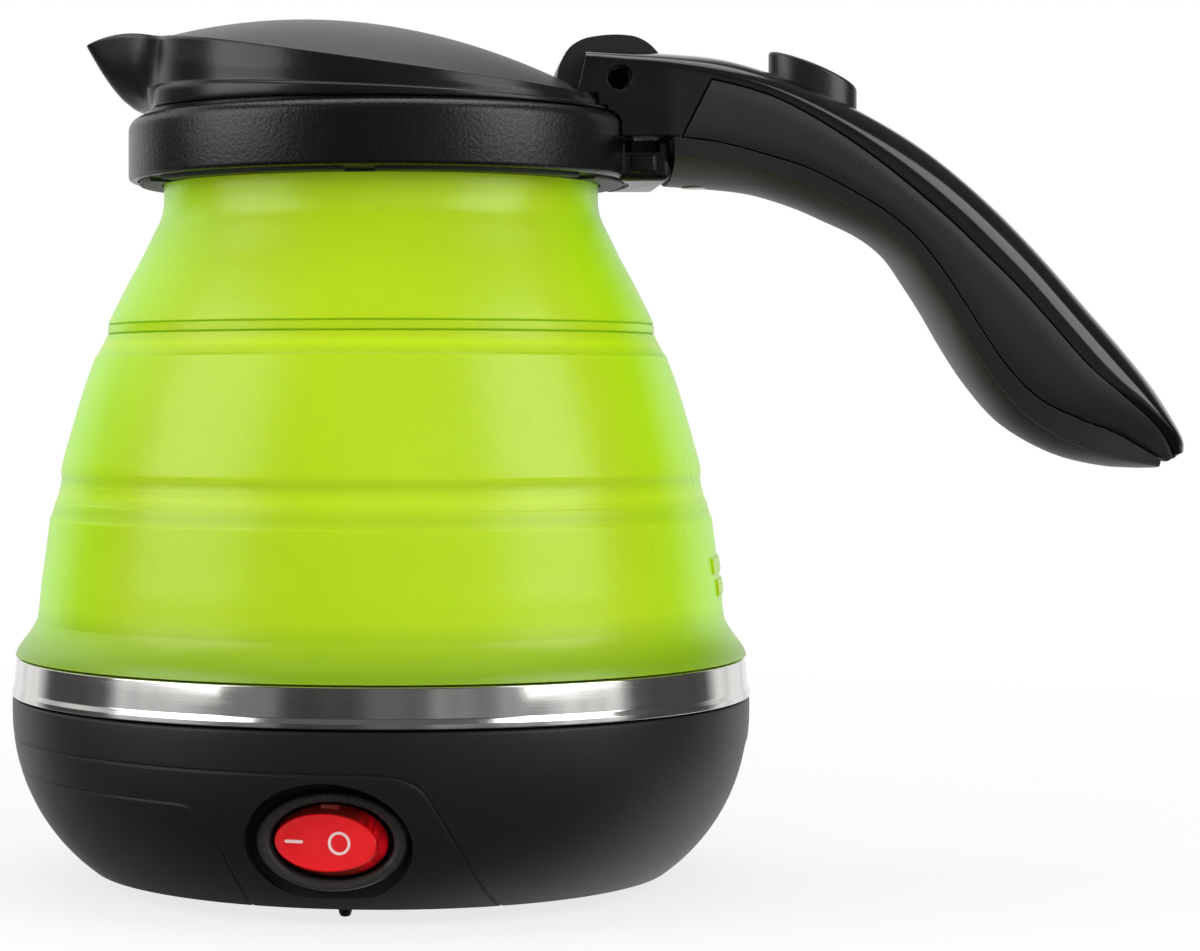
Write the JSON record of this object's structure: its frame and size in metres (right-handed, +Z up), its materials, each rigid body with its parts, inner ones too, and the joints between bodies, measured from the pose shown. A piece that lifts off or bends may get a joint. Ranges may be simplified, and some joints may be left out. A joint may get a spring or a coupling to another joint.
{
  "type": "collapsible electric kettle",
  "caption": "Travel kettle whose tiered silicone body folds down between a heated base and a rigid collar with spout, hinged lid and long curved handle.",
  "frame": {"origin": "centre of the flat land under the bottom cover, on the kettle's upright axis", "axes": "+Z up; +X towards the handle and the inlet, -X towards the spout; -Y the side with the switch"},
  "size_m": [0.1991, 0.1252, 0.1467],
  "materials": {
    "base_housing": "matte black",
    "bottom_cover": "matte black",
    "feet": "matte",
    "screws": "zinc plated",
    "steel_band": "polished",
    "heating_pan": "brushed",
    "clamp_ring": "brushed",
    "heat_spreader": "milled",
    "heating_element": "dull",
    "terminals": "plated",
    "thermostat": "satin",
    "thermal_fuse": "sleeved",
    "inlet": "matte black",
    "wire_brown": "insulated",
    "wire_blue": "insulated",
    "wire_earth": "insulated",
    "switch_frame": "satin black",
    "switch_rocker": "translucent red",
    "silicone_body": "satin lime silicone",
    "collar": "fine grain black",
    "retaining_ring": "matte black",
    "spout_ring": "satin black",
    "handle_frame": "glossy black",
    "side_grips": "soft matte black",
    "handle_lower_shell": "satin black",
    "hinge_pin": "ground",
    "button_spring": "spring steel",
    "lid": "fine grain black",
    "inner_lid": "brushed",
    "lid_seal": "clear silicone",
    "lid_button": "satin black"
  },
  "bodies": {
    "base": {"base_housing": "base_housing", "bottom_cover": "bottom_cover", "foot_1": "feet", "foot_2": "feet", "foot_3": "feet", "cover_screw_1": "screws", "cover_screw_2": "screws", "cover_screw_3": "screws", "steel_band": "steel_band", "heating_pan": "heating_pan", "clamp_ring": "clamp_ring", "heat_spreader": "heat_spreader", "heating_element": "heating_element", "element_pin_1": "terminals", "element_pin_2": "terminals", "thermostat": "thermostat", "thermal_fuse": "thermal_fuse", "inlet_body": "inlet", "inlet_pin_1": "terminals", "inlet_pin_2": "terminals", "inlet_pin_3": "terminals", "wire_live": "wire_brown", "wire_switched": "wire_brown", "wire_neutral": "wire_blue", "wire_earth": "wire_earth", "switch_frame": "switch_frame", "switch_terminal_1": "terminals", "switch_terminal_2": "terminals", "silicone_body": "silicone_body"},
    "rocker": {"switch_rocker": "switch_rocker"},
    "collar": {"collar": "collar", "retaining_ring": "retaining_ring", "spout_ring": "spout_ring", "handle_frame": "handle_frame", "side_grip_near": "side_grips", "side_grip_far": "side_grips", "handle_lower_shell": "handle_lower_shell", "handle_screw_1": "screws", "handle_screw_2": "screws", "hinge_pin": "hinge_pin", "button_spring": "button_spring"},
    "lid": {"lid": "lid", "inner_lid": "inner_lid", "lid_seal": "lid_seal", "lid_screw": "screws"},
    "button": {"lid_button": "lid_button"}
  },
  "joints": [
    {"name": "collapse", "type": "slide", "parent": "base", "child": "collar", "axis": [0, 0, -1], "range_m": [0, 0.05], "deforming": ["silicone_body"]},
    {"name": "lid_hinge", "type": "hinge", "parent": "collar", "child": "lid", "pos_m": [0.0395, 0, 0.1322], "axis": [0, 1, 0], "range_deg": [0, 80]},
    {"name": "button_press", "type": "slide", "parent": "collar", "child": "button", "axis": [0, 0, -1], "range_m": [0, 0.0032], "stiffness_N_per_m": 150, "deforming": ["button_spring"]},
    {"name": "rocker_switch", "type": "hinge", "parent": "base", "child": "rocker", "pos_m": [-0.00704, -0.0495, 0.0117], "axis": [0, 0, 1], "range_deg": [0, 18]}
  ],
  "couplings": [
    {"joint": "button_press", "follows": "lid_hinge", "m_per_rad": 0.00229}
  ]
}
